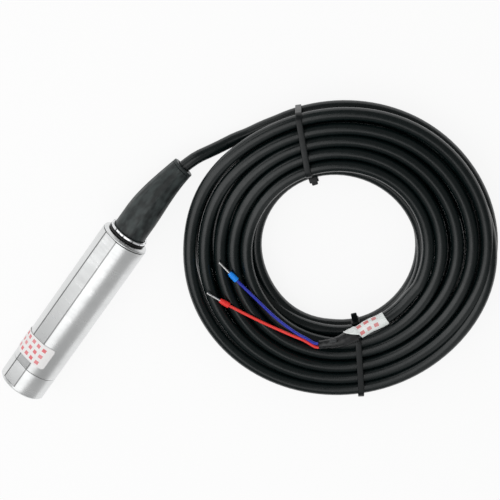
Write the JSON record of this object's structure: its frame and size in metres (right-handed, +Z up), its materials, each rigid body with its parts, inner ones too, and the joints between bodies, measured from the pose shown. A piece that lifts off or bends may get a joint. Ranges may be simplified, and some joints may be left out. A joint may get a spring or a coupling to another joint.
{
  "type": "submersible level transmitter",
  "caption": "Steel hydrostatic level probe with a screw-on ported nose cap, a moulded rubber boot and a coiled vented cable that ends in wires with crimped ferrules.",
  "frame": {"origin": "on the floor, below the middle of the probe's length (bounding box of everything but the cable and what is on it)", "axes": "+X along the probe from its nose to its boot, +Z up from the floor that it lies on"},
  "size_m": [0.2579, 0.2051, 0.0311],
  "materials": {
    "satin_steel": "satin turned stainless steel",
    "polished_steel": "polished stainless steel",
    "diaphragm_steel": "thin bright stainless foil",
    "gold_pin": "gold-plated",
    "black_rubber": "satin moulded",
    "seal_rubber": "matt",
    "black_jacket": "satin extruded jacket",
    "shrink_sleeve": "satin shrunk sleeve",
    "tie_plastic": "satin nylon",
    "carrier_plastic": "matt moulded",
    "board_laminate": "satin solder mask",
    "chip_plastic": "matt",
    "capacitor_can": "satin",
    "terminal_plastic": "matt",
    "vent_plastic": "matt",
    "label_foil": "silvery white foil",
    "sticker_paper": "satin white",
    "red_insulation": "satin",
    "blue_insulation": "satin",
    "red_collar": "satin moulded",
    "blue_collar": "satin moulded",
    "tinned_copper": "bright tin"
  },
  "bodies": {
    "probe": {"housing_tube": "satin_steel", "sensor_retaining_ring": "satin_steel", "isolating_diaphragm": "diaphragm_steel", "sensor_capsule": "satin_steel", "sensor_o_ring": "seal_rubber", "header_pin_1": "gold_pin", "header_pin_2": "gold_pin", "header_pin_3": "gold_pin", "header_pin_4": "gold_pin", "board_carrier_front": "carrier_plastic", "board_carrier_rear": "carrier_plastic", "circuit_board": "board_laminate", "amplifier_chip": "chip_plastic", "surge_capacitor": "capacitor_can", "terminal_block": "terminal_plastic", "inner_red_lead": "red_insulation", "inner_blue_lead": "blue_insulation", "end_plug": "satin_steel", "plug_o_ring": "seal_rubber", "cable_seal": "seal_rubber", "seal_washer": "satin_steel", "rim_o_ring": "seal_rubber", "clamp_ring": "polished_steel", "rubber_boot": "black_rubber", "probe_sticker": "sticker_paper", "cable_lead_in": "black_jacket", "cable_coil": "black_jacket", "cable_tail": "black_jacket", "end_sleeve": "shrink_sleeve", "vent_tube_tip": "vent_plastic", "cable_label": "label_foil", "red_wire": "red_insulation", "blue_wire": "blue_insulation", "red_ferrule_collar": "red_collar", "blue_ferrule_collar": "blue_collar", "red_ferrule_pin": "tinned_copper", "blue_ferrule_pin": "tinned_copper", "cable_tie_1": "tie_plastic", "cable_tie_2": "tie_plastic"},
    "nose_cap": {"nose_cap": "satin_steel"}
  },
  "joints": [
    {"name": "nose_cap_unscrew", "type": "slide", "parent": "probe", "child": "nose_cap", "axis": [-1, 0, 0], "range_m": [0, 0.012]}
  ]
}
